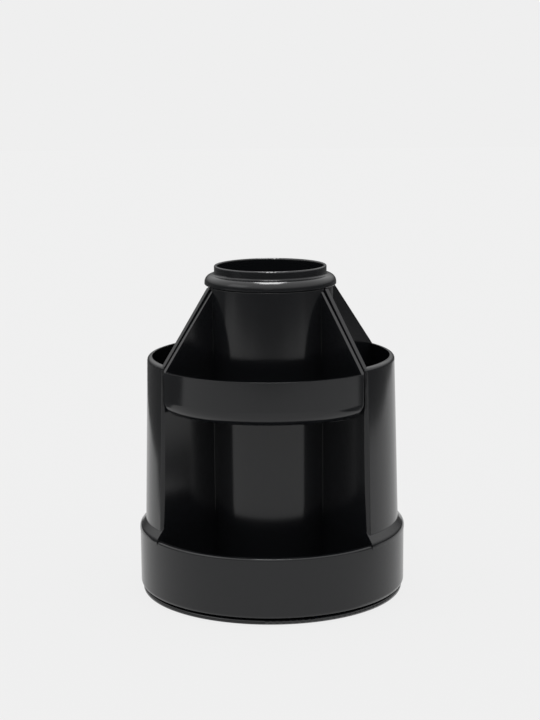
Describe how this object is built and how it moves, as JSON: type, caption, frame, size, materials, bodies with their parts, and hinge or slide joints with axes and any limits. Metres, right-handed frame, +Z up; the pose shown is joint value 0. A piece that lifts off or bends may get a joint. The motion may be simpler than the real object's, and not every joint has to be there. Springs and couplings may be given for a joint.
{
  "type": "rotating desk organizer",
  "caption": "Turntable desk organizer: a round pan on a ball bearing carries a pencil tube, four fins, tall side pockets, open bins and raised bowed trays.",
  "frame": {"origin": "centre of the feet's underside, on the turning axis", "axes": "+Z up along the turning axis, -Y towards the front tray, +X to the right-hand pocket"},
  "size_m": [0.106, 0.1058, 0.1305],
  "materials": {
    "black_plastic": "gloss-moulded black ABS",
    "cage_plastic": "natural acetal, as moulded",
    "ball_steel": "polished bearing steel",
    "screw_steel": "zinc-plated steel",
    "foot_rubber": "moulded rubber"
  },
  "bodies": {
    "base": {"base_disc": "black_plastic", "foot_1": "foot_rubber", "foot_2": "foot_rubber", "foot_3": "foot_rubber", "foot_4": "foot_rubber", "pivot_washer": "screw_steel", "pivot_screw": "screw_steel"},
    "cage": {"ball_cage": "cage_plastic", "ball_01": "ball_steel", "ball_02": "ball_steel", "ball_03": "ball_steel", "ball_04": "ball_steel", "ball_05": "ball_steel", "ball_06": "ball_steel", "ball_07": "ball_steel", "ball_08": "ball_steel", "ball_09": "ball_steel", "ball_10": "ball_steel", "ball_11": "ball_steel", "ball_12": "ball_steel"},
    "organizer": {"lower_pan": "black_plastic", "upper_body": "black_plastic", "front_tray": "black_plastic", "rear_tray": "black_plastic", "pencil_cup": "black_plastic", "body_screw_1": "screw_steel", "body_screw_2": "screw_steel", "body_screw_3": "screw_steel", "body_screw_4": "screw_steel"}
  },
  "joints": [
    {"name": "turn", "type": "hinge", "parent": "base", "child": "organizer", "pos_m": [0, 0, 0.0075], "axis": [0, 0, 1], "continuous": true},
    {"name": "cage_turn", "type": "hinge", "parent": "base", "child": "cage", "pos_m": [0, 0, 0.0044], "axis": [0, 0, 1], "continuous": true}
  ],
  "couplings": [
    {"joint": "cage_turn", "follows": "turn", "ratio": 0.5}
  ]
}
